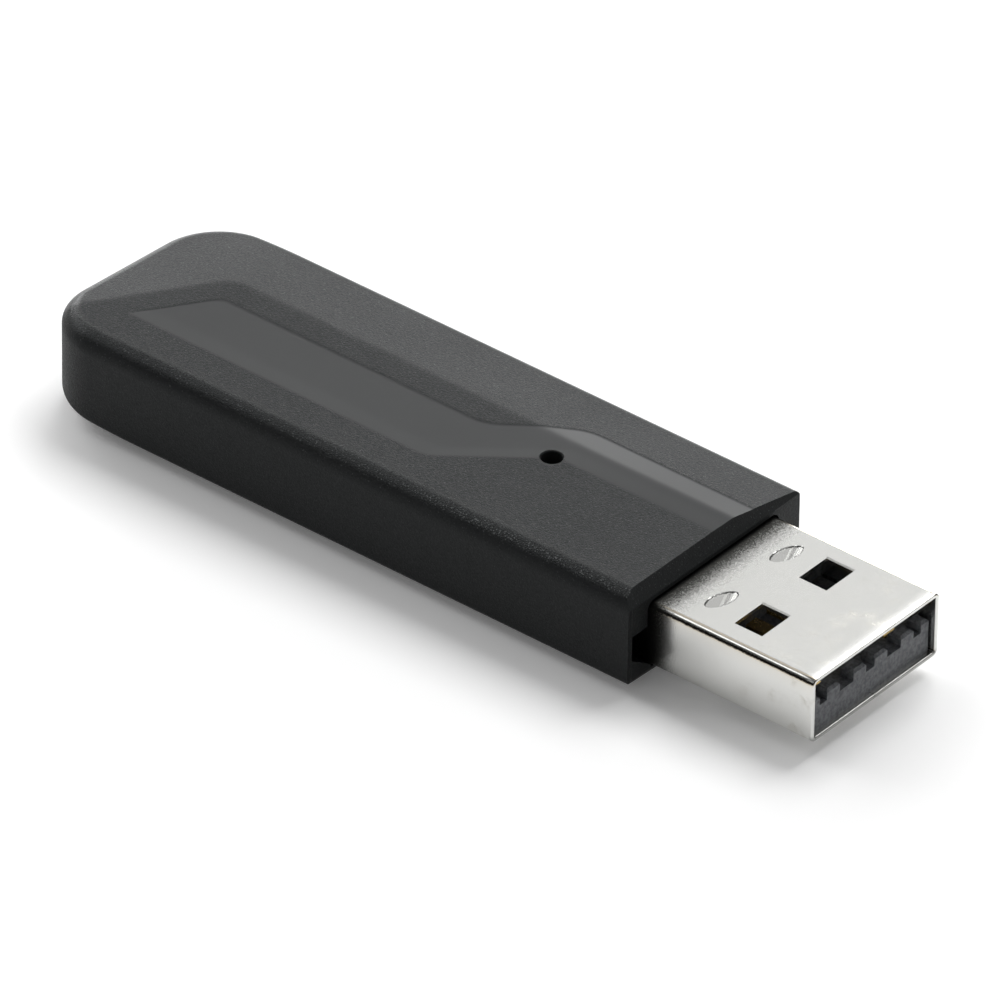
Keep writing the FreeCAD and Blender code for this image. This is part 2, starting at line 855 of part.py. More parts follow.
def contact_solder(y):
    """Wedge of solder behind the rear end of one contact."""
    rear = board_front_x - contact_foot
    h = contact_thickness
    points = [
        Vector(rear, y - contact_width / 2, board_top),
        Vector(rear, y - contact_width / 2, board_top + h),
        Vector(rear - contact_solder_length, y - contact_width / 2, board_top),
    ]
    return prism(points, Vector(0, contact_width, 0))


# Places of the small parts: shares of the way along the board and of its half width, and whether
# the part lies along X

capacitor_places = (
    (0.21, -0.50, False), (0.10, 0.78, False), (0.26, 0.50, True), (0.44, 0.50, False),
    (0.45, -0.50, False), (0.49, 0.65, True), (0.80, 0.56, False), (0.80, -0.62, False),
    (0.73, 0.88, True), (0.94, 0.44, True), (0.94, -0.44, True), (0.53, -0.79, False),
    (0.71, -0.79, False),
)
resistor_places = (
    (0.18, -0.38, False), (0.25, -0.62, True), (0.10, 0.30, False), (0.31, 0.76, True),
    (0.39, -0.68, True), (0.38, 0.74, True), (0.88, 0.68, True),
)
coil_places = ((0.81, 0.12, True), (0.81, -0.12, True), (0.99, -0.12, True))


def small_parts(places, height):
    """A group of equal two-ended parts, one at each place."""
    return [
        two_ended(along_board(x), board_half_width * y, chip_part_length, chip_part_width, height, along_x)
        for x, y, along_x in places
    ]


def nodes():
    """Every piece under its name, as a list of solids."""
    form = outer_form()
    hollow = whole_form(wall)
    mid_wall = whole_form(wall / 2)
    pieces = {
        "top_housing": [top_housing(form, hollow, mid_wall)],
        "bottom_housing": [bottom_housing(form, hollow, mid_wall)],
        "plug_shell": [plug_shell()],
        "plug_insulator": [plug_insulator()],
    }
    for name, y, from_mouth in contact_places():
        pieces[name] = [contact(y, from_mouth)]
    pieces["circuit_board"] = [circuit_board()]
    pieces["antenna_trace"] = [antenna_trace()]
    pieces["radio_controller"] = [flat_chip(controller_share, controller_size, controller_height)]
    pieces["usb_bridge_chip"] = [flat_chip(bridge_share, bridge_size, bridge_height)]
    pieces["radio_amplifier"] = [flat_chip(amplifier_share, amplifier_size, amplifier_height)]
    pieces["main_crystal"] = [crystal(-1, main_crystal_width)]
    pieces["clock_crystal"] = [crystal(1, clock_crystal_width)]
    pair = (-lead_pitch, lead_pitch)
    bead_y = board_half_width - bead_from_edge
    pieces["voltage_regulator"] = [
        leaded_chip(regulator_from_edge, regulator_length, regulator_width, regulator_height, pair + (0,), pair)
    ]
    pieces["surge_protector"] = [
        leaded_chip(protector_from_edge, regulator_length, protector_width, protector_height, pair, pair)
    ]
    pieces["ferrite_bead"] = [
        two_ended(first_row_x(bead_length), bead_y, bead_length, bead_width, bead_height, True)
    ]
    pieces["status_light"] = [status_light()]
    pieces["ceramic_capacitors"] = small_parts(capacitor_places, capacitor_height)
    pieces["resistors"] = small_parts(resistor_places, resistor_height)
    pieces["matching_coils"] = small_parts(coil_places, capacitor_height)
    pieces["shell_solder"] = [shell_solder(side) for side in (-1, 1)]
    pieces["contact_solder"] = [contact_solder(y) for name, y, from_mouth in contact_places()]
    return pieces


os.makedirs("parts", exist_ok=True)
for node, solids in nodes().items():
    shape = solids[0] if len(solids) == 1 else Part.makeCompound(solids)
    shape.exportStep("parts/" + node + ".step")
    state = "valid" if shape.isValid() else "NOT VALID"
    print(node, len(shape.Solids), "solid", round(shape.Volume, 2), "mm3", state)
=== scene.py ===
# %% [markdown]
# # A USB radio stick: giving a CAD model its looks
#
# The solids of this stick are already made and packed: two housing shells, a plug and a full
# circuit board. This lesson dresses them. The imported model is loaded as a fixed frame, so
# every new surface has a place to match, and nothing here changes the size of the product.

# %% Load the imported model
import json
import math

import bmesh
import bpy
import numpy as np
from mathutils import Matrix, Vector


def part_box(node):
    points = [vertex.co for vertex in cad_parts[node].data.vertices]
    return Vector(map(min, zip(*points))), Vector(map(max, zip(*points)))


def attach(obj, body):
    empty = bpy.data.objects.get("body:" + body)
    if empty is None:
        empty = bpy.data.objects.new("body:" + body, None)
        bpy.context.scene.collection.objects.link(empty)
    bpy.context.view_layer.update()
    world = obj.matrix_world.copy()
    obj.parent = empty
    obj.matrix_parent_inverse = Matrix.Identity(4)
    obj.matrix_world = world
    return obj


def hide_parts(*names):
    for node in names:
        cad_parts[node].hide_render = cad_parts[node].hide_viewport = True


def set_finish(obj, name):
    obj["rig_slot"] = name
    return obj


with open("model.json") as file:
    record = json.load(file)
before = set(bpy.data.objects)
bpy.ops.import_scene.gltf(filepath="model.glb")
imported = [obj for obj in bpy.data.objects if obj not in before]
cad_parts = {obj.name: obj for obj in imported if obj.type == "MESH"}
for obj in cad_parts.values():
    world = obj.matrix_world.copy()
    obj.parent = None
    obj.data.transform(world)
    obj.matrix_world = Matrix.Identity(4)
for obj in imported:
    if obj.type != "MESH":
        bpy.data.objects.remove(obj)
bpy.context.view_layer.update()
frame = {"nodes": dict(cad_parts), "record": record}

print("nodes:", len(frame["nodes"]))

# %% [markdown]
# ## Sizes
#
# Small products are easiest to think about in millimetres, while the scene is in metres. So
# the sizes below are millimetres, and one constant turns them into metres when a mesh is
# made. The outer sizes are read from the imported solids, so that the two can't drift apart.

# %% Main sizes
MM = 0.001  # a millimetre in metres
parting_z = 4.15  # height of the joint between the two shells
wall = 1.1  # thickness of the housing's wall
housing_low, housing_high = [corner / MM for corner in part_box("top_housing")]
plug_low, plug_high = [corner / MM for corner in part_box("plug_shell")]
rear_x, front_x, tip_x = housing_low.x, housing_high.x, plug_high.x
half_width, roof_z = housing_high.y, housing_high.z
housing_size = (front_x - rear_x, 2 * half_width, roof_z)
print("housing", " by ".join(f"{size:.2f}" for size in housing_size), "mm")

# %% [markdown]
# ## From a grid of points to a mesh
#
# Every new surface here is a grid: an array of points with two directions, worked out by a
# formula for all points at once. A piece is several such patches that meet along equal
# borders. Merging the doubled border points closes the piece, and then its faces can be
# turned outwards in one step.

# %% Patches to a mesh
merge_reach = 0.0005  # points closer than this become one
sliver_reach = 0.0002  # edges shorter than this are dissolved


def patch_faces(rows, columns, start):
    """Four corners of each cell of a grid whose points are numbered row by row from start."""
    number = start + np.arange(rows * columns).reshape(rows, columns)
    corners = [number[:-1, :-1], number[1:, :-1], number[1:, 1:], number[:-1, 1:]]
    return np.stack(corners, axis=-1).reshape(-1, 4)


def mesh_piece(name, patches, values=None):
    """A closed mesh from patches of points in millimetres, and a value per point if given."""
    points, faces, start = [], [], 0
    for patch in patches:
        rows, columns = patch.shape[:2]
        points.append(patch.reshape(-1, 3))
        faces.append(patch_faces(rows, columns, start))
        start += rows * columns
    mesh = bpy.data.meshes.new(name)
    mesh.from_pydata((np.concatenate(points) * MM).tolist(), [], np.concatenate(faces).tolist())
    for label, tables in (values or {}).items():
        attribute = mesh.attributes.new(label, "FLOAT", "POINT")
        column = np.concatenate([table.ravel() for table in tables])
        attribute.data.foreach_set("value", column.astype(np.float32))
    closed = bmesh.new()
    closed.from_mesh(mesh)
    bmesh.ops.remove_doubles(closed, verts=closed.verts, dist=merge_reach * MM)
    bmesh.ops.dissolve_degenerate(closed, edges=closed.edges, dist=sliver_reach * MM)
    bmesh.ops.recalc_face_normals(closed, faces=closed.faces)
    open_edges = sum(not edge.is_manifold for edge in closed.edges)
    closed.to_mesh(mesh)
    closed.free()
    piece = bpy.data.objects.new(name, mesh)
    bpy.context.scene.collection.objects.link(piece)
    print(name, len(mesh.polygons), "faces,", open_edges, "open edges")
    return piece


print("a patch of 3 by 4 points has", len(patch_faces(3, 4, 0)), "cells")

# %% [markdown]
# Walls and lids are patches too. A wall is a band through rings of points, and a lid is a
# band whose inner ring has shrunk to one point, so one helper serves both.

# %% Bands and lids


def band(*rings):
    """A closed band of cells through rings of points, each ring listed in the same order."""
    stacked = np.stack(rings)
    return np.concatenate([stacked, stacked[:, :1]], axis=1)


def cap(ring):
    """A flat lid on a closed outline: a band from the outline to its own middle point."""
    return band(ring, np.broadcast_to(ring.mean(axis=0), ring.shape))


square = np.array([(0, 0, 0), (1, 0, 0), (1, 1, 0), (0, 1, 0)], float)
print("rows and points of a lid on a square:", cap(square).shape[:2])

# %% [markdown]
# ## The form of the housing
#
# The roof is flat up to a crease. The crease runs along the stick, bends round a corner near
# the rear and leaves over the near rear corner. Beyond it the roof falls gently, so its
# height is the full height less a slope times the distance past the crease. A formula for
# that distance is all that the roof needs, and the sharp turn at the crease is softened by a
# short parabola, as a mould maker's cutter would leave it.

# %% Roof and crease
slope = 0.136  # fall of the slopes for each millimetre past the crease
crease_y = 2.4
crease_corner_x = rear_x + 7.0
crease_angle = math.radians(56)
crease_bend = 1.8
crease_softness = 0.22


def soft_ramp(distance, softness):
    """Nought before nought and the distance after it, joined by a parabola of the softness."""
    blend = (np.clip(distance, -softness, softness) + softness) ** 2 / (4 * softness)
    return np.where(distance > softness, distance, blend)


def past_crease(x, y):
    """Distance past the crease: beyond its far or its rear line, or beyond the bend between."""
    sine, cosine = math.sin(crease_angle), math.cos(crease_angle)
    far = y - crease_y
    rear = (y - crease_y) * cosine - (x - crease_corner_x) * sine
    along = x - crease_corner_x - crease_bend * math.tan(crease_angle / 2)
    across = y - crease_y + crease_bend
    in_bend = (along < 0) & (along * cosine + across * sine > 0)
    return np.where(in_bend, np.hypot(along, across) - crease_bend, np.maximum(far, rear))


def roof(x, y, inset):
    """Height of the roof: the full height less the slope times the distance past the crease."""
    return roof_z - inset - slope * soft_ramp(past_crease(x, y), crease_softness)


far_drop = roof_z - float(roof(front_x, half_width, 0))
print("the roof falls by", round(far_drop, 2), "mm to the far edge")

# %% [markdown]
# The plan is a long rectangle with quarter circles at the rear. The rim between roof and
# wall is a quarter round whose radius is large along the near side, middling round the rear
# and small along the far side. Its drop at a point depends only on how far the point lies
# inside the plan.

# %% Plan and rim
corner_radius = 4.3
near_front, far_front, inner_front = 0.4, 0.15, 0.05  # radii of the plan's front corners
near_rim, rear_rim, far_rim = 1.3, 0.95, 0.4  # radii of the rim


def half_width_at(x, inset, ahead_radius):
    """Half the width at a place along the stick: straight, less a quarter circle at each end."""
    rear_radius = corner_radius - inset
    behind = np.clip(rear_x + inset + rear_radius - x, 0, rear_radius)
    ahead = np.clip(x - front_x + inset + ahead_radius, 0, ahead_radius)
    rear_loss = rear_radius - np.sqrt(rear_radius**2 - behind**2)
    front_loss = ahead_radius - np.sqrt(ahead_radius**2 - ahead**2)
    return half_width - inset - rear_loss - front_loss


def rim_drop(x, y):
    """Drop of the rim, a quarter circle in the distance from the edge, and its tilt's sine."""
    behind = rear_x + corner_radius - x
    beside = np.abs(y) - half_width + corner_radius
    in_corner = (behind > 0) & (beside > 0)
    inside = np.where(in_corner, corner_radius - np.hypot(behind, beside),
                      np.minimum(half_width - np.abs(y), x - rear_x))
    side = np.where(y < 0, near_rim, far_rim)
    bearing = np.arctan2(np.maximum(beside, 0), np.maximum(behind, 1e-6))
    radius = rear_rim + (side - rear_rim) * np.clip(bearing / (math.pi / 2), 0, 1)
    short = np.clip(radius - np.maximum(inside, 0), 0, radius)
    return radius - np.sqrt(radius**2 - short**2), short / radius


rim_drops = [round(float(rim_drop(0.0, y)[0]), 2) for y in (-half_width, half_width)]
print("the rim drops by", rim_drops, "mm at the near and the far wall")

# %% [markdown]
# ## The panel
#
# A smooth panel is let into the roof. Its far edge is a crisp little step, and its near edge
# fades into the roof. Both edges are lines that jog once near the light hole, and the far
# one turns off sideways at the rear. A line with rounded corners is a sum of soft ramps, so
# each edge is one short formula of the place along the stick.

# %% Edges of the panel
panel_depth = 0.018
panel_step = 0.1  # width of the crisp step
panel_fade = 1.4  # width over which the near edge comes up to the roof
panel_edge = 0.14  # half the width of the polish's near border
far_edge_y, near_edge_y = 0.5, -4.4
panel_turn, panel_turn_softness = 38.5, 0.5  # where the far edge turns off, behind the front
# Of each jog: its start and end behind the front, its slant and the softness of its corners.
far_jog = (17.97, 12.97, 0.75, 0.9)
near_jog = (18.6, 12.3, 0.78, 0.6)


def jog(back, start, end, slant, softness):
    """A line set over sideways: a slant times a soft ramp from the start less one from the end."""
    return slant * (soft_ramp(start - back, softness) - soft_ramp(end - back, softness))


def panel_far_edge(x):
    """The far edge: level, turned off at the rear and set over to the far side by its jog."""
    back = front_x - x
    rear = math.tan(crease_angle) * soft_ramp(back - panel_turn, panel_turn_softness)
    return far_edge_y - rear + jog(back, *far_jog)


def panel_near_edge(x):
    """The near edge: level, and set over by its own jog beside the light hole."""
    return near_edge_y + jog(front_x - x, *near_jog)


def panel_shape(x, y):
    """Depth of the panel, and a mask that is one on its smooth surface and nought outside."""
    far, near = panel_far_edge(x), panel_near_edge(x)
    fade = np.clip((y - near) / panel_fade, 0, 1)
    fade = fade * fade * (3 - 2 * fade)
    step = np.clip((far - y) / panel_step, 0, 1)
    mask = np.clip((y - near + panel_edge) / (2 * panel_edge), 0, 1) * step
    return panel_depth * fade * step, mask


front_edges = [round(float(edge(front_x)), 2) for edge in (panel_near_edge, panel_far_edge)]
print("the panel reaches the front between", front_edges, "mm")

# %% [markdown]
# ## The two shells
#
# Both shells share the form: the lower one is the upper one turned over, without the panel.
# The grid's lines are not evenly spaced. They crowd towards the rim, where the surface turns
# down steeply, and a few of them follow the panel's edges, so the step is crisp without a
# very fine grid.

# %% Grid lines
bevel_foot = 0.96  # drop of the front bevel
bevel_depth = 0.6  # its reach along the stick
rear_reach, near_reach, far_reach = 1.4, 1.7, 0.7  # widths in which the lines crowd
rim_lines, far_rim_lines, bevel_lines = 14, 10, 10
strip_lines, panel_lines, slope_lines, border_lines = 18, 26, 30, 3
strip_gap, panel_gap, slope_gap = 0.25, 0.05, 0.1  # least widths between followed lines


def crowded(start, end, count):
    """Places from start to end that crowd towards the start, with steps that grow evenly."""
    return start + (end - start) * (np.arange(count) / (count - 1)) ** 2


def stations(step):
    """Places along the stick: crowded at the rear edge and on the bevel over the front face."""
    rear = crowded(rear_x, rear_x + rear_reach, rim_lines)
    front = crowded(front_x, front_x - bevel_depth, bevel_lines)[::-1]
    count = int((front[0] - rear[-1]) / step)
    return np.concatenate([rear[:-1], np.linspace(rear[-1], front[0], count), front[1:]])


def between(start, end, shares):
    """Places at given shares of the way from start to end, as a row for each station."""
    return start + (end - start) * shares[None]


def cross_lines(x, follow_panel):
    """Places across the stick for each station, as rows of a table."""
    fronts = (near_front, far_front) if follow_panel else (far_front, near_front)
    near_half, far_half = [half_width_at(x, 0, radius)[:, None] for radius in fronts]
    near_start = near_reach - near_half
    far_end = far_half - far_reach
    if follow_panel:
        near = np.maximum(panel_near_edge(x)[:, None], near_start + strip_gap)
        least_far = near + panel_edge + panel_step + panel_gap
        far = np.clip(panel_far_edge(x)[:, None], least_far, far_end - slope_gap)
    else:
        near, far = [near_start + (far_end - near_start) * share for share in (0.4, 0.6)]
    turns = [near_start, near - panel_edge, near + panel_edge, far - panel_step, far, far_end]
    counts = [strip_lines, border_lines, panel_lines, border_lines, slope_lines]
    parts = [between(start, end, np.linspace(0, 1, count))[:, :-1]
             for start, end, count in zip(turns, turns[1:], counts)]
    near_rim_part = between(-near_half, near_start, crowded(0, 1, rim_lines))[:, :-1]
    far_rim_part = between(far_half, far_end, crowded(0, 1, far_rim_lines))[:, ::-1]
    return np.concatenate([near_rim_part, *parts, far_rim_part], axis=1)


print("lines across the stick:", cross_lines(stations(1.0), True).shape[1])

# %% [markdown]
# The front face carries a narrow bevel along its top: a plane that leans back from the face
# to the roof. The height of the shell is the lower of the roof and that plane. The skin also
# stores three masks for the material: the panel, the rim, which is smoother than the roof,
# and the band on the rim that hands have worn.

# %% Outer skin
mask_names = ("panel", "polish", "wear")
polish_tilts, wear_tilts = (0, 0.9), (0.3, 0.75)  # sines of the rim's tilt
bend_run = 2.5  # length over which the lines bend towards the bevel's upper edge
least_rise = 0.02  # least height of that edge above the bevel's foot


def tilt_band(tilt, start, end):
    """One between two tilts of the rim and nought outside, with a soft border at each."""
    return np.clip((tilt - start) / 0.12, 0, 1) * np.clip((end - tilt) / 0.15, 0, 1)


def covered(x, y, with_panel):
    """Height of the skin without its bevel, the roof less rim and panel, and its masks."""
    depth, panel = panel_shape(x, y) if with_panel else (0 * x, 0 * x)
    drop, tilt = rim_drop(x, y)
    masks = np.stack([panel, tilt_band(tilt, *polish_tilts), tilt_band(tilt, *wear_tilts)])
    return roof(x, y, 0) - drop - depth, masks


def outer_skin(step, with_panel):
    """The top of the form as a grid whose front lines are bent to the bevel's upper edge."""
    x = stations(step)
    y = cross_lines(x, with_panel)
    x = np.broadcast_to(x[:, None], y.shape)
    start = front_x - bevel_depth
    edge_y = y[-bevel_lines - 1]
    edge_height = covered(np.full(len(edge_y), start), edge_y, with_panel)[0]
    rise = np.clip(edge_height - roof_z + bevel_foot, least_rise, bevel_foot)
    bend = bevel_depth * (1 - rise / bevel_foot)
    x = x + bend[None, :] * np.interp(x, [start - bend_run, start, front_x], [0, 1, 0])
    z, masks = covered(x, y, with_panel)
    masks[:, 1 - bevel_lines:] = 0
    bevel = roof_z - bevel_foot + (front_x - x) * bevel_foot / bevel_depth
    return np.stack([x, y, np.minimum(z, bevel)], axis=-1), masks


print("points of a coarse skin:", outer_skin(1.0, True)[0].shape[:2])

# %% [markdown]
# A shell is hollow, so it needs an inner skin as well. It is the same form drawn inwards by
# the wall, on a grid of the same size, so the walls between the two skins are plain bands.

# %% Two closed shells


def inner_skin(rows, columns):
    """The same form drawn inwards by the wall, on an even grid of equal size."""
    x = np.linspace(rear_x + wall, front_x - wall, rows)
    across = np.linspace(-1, 1, columns)
    y = half_width_at(x, wall, inner_front)[:, None] * across[None, :]
    x = np.broadcast_to(x[:, None], y.shape)
    return np.stack([x, y, roof(x, y, wall)], axis=-1)


def border(grid):
    """The border of a grid as one ring: near side, rear, far side and front."""
    return np.concatenate([grid[::-1, 0], grid[0, 1:], grid[1:, -1], grid[-1, -2:0:-1]])


def at_height(ring, z):
    """A ring of points moved up or down to one height."""
    return np.concatenate([ring[:, :2], np.full((len(ring), 1), z)], axis=1)


def half_shell(name, joint_z, step, with_panel):
    """One shell: outer skin, wall, joint face, inner wall and inner skin, closed all round."""
    outer, masks = outer_skin(step, with_panel)
    inner = inner_skin(*outer.shape[:2])
    rim, ceiling = border(outer), border(inner)
    sides = band(rim, at_height(rim, joint_z), at_height(ceiling, joint_z), ceiling)
    patches = [outer, sides, inner]
    if not with_panel:
        patches = [np.stack([patch[..., 0], -patch[..., 1], roof_z - patch[..., 2]], axis=-1)
                   for patch in patches]
    plain = [0 * sides[..., 0], 0 * inner[..., 0]]
    values = {label: [mask, *plain] for label, mask in zip(mask_names, masks)}
    return mesh_piece(name, patches, values)


grid_step = 0.2
top_shell = half_shell("top_shell", parting_z, grid_step, True)
bottom_shell = half_shell("bottom_shell", roof_z - parting_z, 2 * grid_step, False)

# %% [markdown]
# ## Openings in the shells
#
# The light hole and the opening for the plug go right through a wall, so they are cut
# instead of being part of the height formula. The tools are closed pieces themselves. A
# prism is a wall with two lids. A flared tool also widens near the surface, which leaves a
# rolled edge instead of a sharp one.

# %% Tools for straight and rolled edges
plug_half, plug_bottom, plug_top, plug_corner = 6.0, 1.15, 5.65, 0.42
roll_depth = 0.06  # how deep a rolled edge reaches below the surface


def rounded_section(grow, x, sides):
    """The plug's section, a rectangle with quarter round corners, drawn outwards by grow."""
    turn = np.linspace(0, math.pi / 2, sides)
    ring = []
    for quarter, (sy, sz) in enumerate(((1, 1), (-1, 1), (-1, -1), (1, -1))):
        angle = turn + quarter * math.pi / 2
        middle_y = sy * (plug_half - plug_corner)
        middle_z = (plug_bottom + plug_top) / 2 + sz * ((plug_top - plug_bottom) / 2 - plug_corner)
        y = middle_y + (plug_corner + grow) * np.cos(angle)
        z = middle_z + (plug_corner + grow) * np.sin(angle)
        ring.append(np.stack([np.full(sides, x), y, z], axis=-1))
    return np.concatenate(ring)


def prism(name, outline, direction):
    """A closed prism: a flat outline carried along a direction, with a lid at each end."""
    ring = np.array(outline, float)
    moved = ring + np.array(direction, float)
    return mesh_piece(name, [band(ring, moved), cap(ring), cap(moved)])


def flared_tool(name, outline, surface_z, growth):
    """A tool that is straight up to the roll's depth and then widens, point by point."""
    foot = np.array(outline, dtype=float)
    low = at_height(foot, surface_z - roll_depth)
    high = at_height(foot, surface_z + roll_depth)
    high[:, :2] += 2 * np.array(growth)
    return mesh_piece(name, [band(foot, low, high), cap(foot), cap(high)])


print("points round the plug:", len(rounded_section(0, 0, 9)))

# %% [markdown]
# The exact Boolean solver takes closed tools away from a closed piece and leaves a closed
# piece. A cut edge has to stay crisp while the rounded rim looks smooth, so the shading is
# smooth only where two faces meet at a small angle.

# %% Cutting and shading


def cut_away(piece, tools):
    """Takes closed tool pieces away from a piece and deletes them."""
    for tool in tools:
        cut = piece.modifiers.new("cut", "BOOLEAN")
        cut.operation = "DIFFERENCE"
        cut.solver = "EXACT"
        cut.object = tool
    seen = bpy.context.evaluated_depsgraph_get()
    mesh = bpy.data.meshes.new_from_object(piece.evaluated_get(seen))
    piece.modifiers.clear()
    old = piece.data
    piece.data = mesh
    bpy.data.meshes.remove(old)
    for tool in tools:
        bpy.data.objects.remove(tool)
    print(piece.name, "after cutting:", len(mesh.polygons), "faces")


def shade(piece, angle):
    """Smooth shading with a hard edge wherever two faces meet at more than the angle."""
    piece.data.shade_smooth()
    piece.data.set_sharp_from_angle(angle=math.radians(angle))


# %% [markdown]
# The hole gets a soft rim. The opening follows the plug's rounded section above, and widens
# below into a pocket with sloping lower corners, which shows beside the plug.

# %% Light hole, plug opening and pocket
hole_x, hole_y, hole_radius, hole_roll = front_x - 12.74, 0.34, 0.675, 0.09
hole_turn = np.linspace(0, 2 * math.pi, 96, endpoint=False)
hole_ring = np.stack([hole_x + hole_radius * np.cos(hole_turn),
                      hole_y + hole_radius * np.sin(hole_turn),
                      np.full(len(hole_turn), parting_z)], axis=-1)
hole_growth = (hole_ring[:, :2] - (hole_x, hole_y)) * hole_roll

behind_wall = front_x - wall - 0.5
through_wall = (wall + 1.0, 0, 0)
opening = rounded_section(0.2, behind_wall, 10) - (0, 0.09, 0)
pocket = [(-7.7, 5), (-7.7, 2.4), (-5.9, 1.25), (-5.9, 1.05), (5.9, 1.05), (5.9, 1.25),
          (7.7, 2.4), (7.7, 3.6), (6.2, 3.8), (6.2, 5)]
cut_away(top_shell, [
    flared_tool("hole_tool", hole_ring, roof_z - panel_depth, hole_growth),
    prism("opening_tool", opening, through_wall),
])
cut_away(bottom_shell, [
    prism("pocket_tool", [(behind_wall, y, z) for y, z in pocket], through_wall),
])
for shell, node in ((top_shell, "top_housing"), (bottom_shell, "bottom_housing")):
    shade(shell, 32)
    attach(shell, "root")
    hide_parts(node)
    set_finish(shell, "housing_plastic")

# %% [markdown]
# ## The plug
#
# A USB plug is a strip of sheet steel folded into a tube. As a surface it is one profile
# carried round a rounded rectangle: along the outside to the mouth, round the small radius
# of the sheared edge, and back along the inside. The two dimples are pressed in, so they
# move the outside and the inside of the sheet together.

# %% Dimples
dimple_x = tip_x - 9.31
dimple_centres = (-2.95, 3.2)
dimple_reach, dimple_half = 1.22, 0.56
dimple_turn = math.radians(14.5)
dimple_depth, tooth_height, tooth_pitch = 0.08, 0.04, 0.34
leaf_fullness, wall_steepness = 0.62, 2.4


def dimple(x, y, centre_y):
    """Depth of one dimple and its painted shade: a leaf with steep walls and two teeth on its
    floor.
    """
    sine, cosine = math.sin(dimple_turn), math.cos(dimple_turn)
    along = (x - dimple_x) * sine + (y - centre_y) * cosine
    across = (x - dimple_x) * cosine - (y - centre_y) * sine
    leaf = np.clip(1 - (along / dimple_reach) ** 2, 0, 1) ** leaf_fullness * dimple_half
    inside = leaf - np.abs(across)
    tooth = (0.6 * along + 0.8 * across - 0.02) / tooth_pitch
    teeth = (1 - np.abs(2 * (tooth % 1) - 1)) * ((tooth > 0) & (tooth < 2))
    floor_depth = dimple_depth - tooth_height * teeth
    depth = np.clip(np.minimum(inside * wall_steepness, floor_depth), 0, None)
    # Painted shade: a dark line along the dimple's outline.
    edge = np.clip(1.3 - np.abs(inside - 0.03) / 0.07, 0, 1)
    # Painted shade on the floor: dark behind the first tooth's crest, half as dark before the
    # teeth.
    behind_tooth = (tooth > 0.5) & (tooth < 1.05)
    shade_of_floor = np.where(behind_tooth, 0.9, np.where(tooth < 0, 0.45, 0.05))
    painted_floor_shade = np.clip(inside / 0.05, 0, 1) * shade_of_floor
    return depth, np.maximum(edge, painted_floor_shade) * (np.abs(along) < dimple_reach)


print("a dimple is", round(float(dimple(dimple_x, 0.0, 0.0)[0]), 3), "mm deep in its middle")

# %% [markdown]
# The section's points lie close together across the top, where the dimples are, and so do
# the profile's points. Elsewhere the tube is straight, and a few points are enough.

# %% Folded tube
sheet = 0.3
sheared_edge = 0.1  # radius of the edge at the mouth
bend_sides = 9
plain_places = (5, 2.5, 1)  # places behind the mouth, where the tube is straight
dimple_span = 0.8  # half the length that needs close points
hidden_length = 2.8  # how far the solid reaches behind the tube, inside the housing


def tube_outline(count):
    """Points and outward directions round the plug's section, with a count across its top."""
    ring = rounded_section(0, 0, bend_sides)
    outward = rounded_section(1, 0, bend_sides) - ring
    top_y = np.linspace(plug_half - plug_corner, plug_corner - plug_half, count)[1:-1]
    flat_top = np.stack([0 * top_y, top_y, 0 * top_y + plug_top], axis=-1)
    up = np.broadcast_to(np.array([0.0, 0.0, 1.0]), flat_top.shape)
    points = np.concatenate([ring[:bend_sides], flat_top, ring[bend_sides:]])
    return points, np.concatenate([outward[:bend_sides], up, outward[bend_sides:]])


def tube_profile(step):
    """Places along the tube and depths into the sheet: out to the mouth, round and back."""
    rear, edge_x = plug_low.x + hidden_length, tip_x - sheared_edge
    fine = np.arange(dimple_x - dimple_span, dimple_x + dimple_span, step)
    plain = [tip_x - place for place in plain_places]
    along = np.concatenate([[rear, rear + 3], fine, plain, [edge_x]])
    turn = np.linspace(0, math.pi / 2, 6)[1:]
    sine, cosine = sheared_edge * np.sin(turn), sheared_edge * np.cos(turn)
    places = np.concatenate([along, edge_x + sine, edge_x + cosine, along[::-1], along[:1]])
    edge_depths = np.concatenate([sheared_edge - cosine, sheet - sheared_edge + sine])
    return places, np.concatenate([0 * along, edge_depths, 0 * along + sheet, [0]])


def folded_tube(step):
    """The tube: at each point of its profile, the section is drawn inwards by the depth."""
    places, depths = tube_profile(step)
    section, outward = tube_outline(int(2 * (plug_half - plug_corner) / step))
    surface = section[None] - depths[:, None, None] * outward[None]
    surface[..., 0] = places[:, None]
    on_top = outward[None, :, 2] > 0.999
    # The painted shade of the dimples is kept as a value at each point.
    painted_dimple_shade = 0 * surface[..., 0]
    for centre_y in dimple_centres:
        press, shade_marks = dimple(surface[..., 0], surface[..., 1], centre_y)
        surface[..., 2] -= np.where(on_top, press, 0)
        painted_dimple_shade += np.where(on_top, shade_marks, 0)
    closed = [np.concatenate([table, table[:, :1]], axis=1) for table in (surface, painted_dimple_shade)]
    return mesh_piece("plug_tube", closed[:1], {"painted_dimple_shade": closed[1:]})


plug_tube = folded_tube(0.04)

# %% [markdown]
# Four square windows go through the tube, two above and two below, and the folded sheet
# meets in a seam underneath. One tool cuts each pair of windows. A punch draws the edge of
# the sheet down a little, so the tool widens at the surface on the two sides where that
# roundness shows. The seam is a thin slit along the middle of the underside, which swells
# into a lock where the two edges hook into each other.

# %% Windows and seam
window_x = tip_x - 5.16
window_length, window_half = 2.12, 1.32
window_centres = (-3.02, 3.08)
rear_roll, far_roll = -0.06, 0.13
window_roll = [(rear_roll, 0), (0, 0), (0, far_roll), (rear_roll, far_roll)]
tool_foot = 0.5
window_tools = []
for centre_y in window_centres:
    near_y, far_y = centre_y - window_half, centre_y + window_half
    outline = [(window_x - window_length, near_y, tool_foot), (window_x, near_y, tool_foot),
               (window_x, far_y, tool_foot), (window_x - window_length, far_y, tool_foot)]
    window_tools.append(flared_tool("window_tool", outline, plug_top, window_roll))

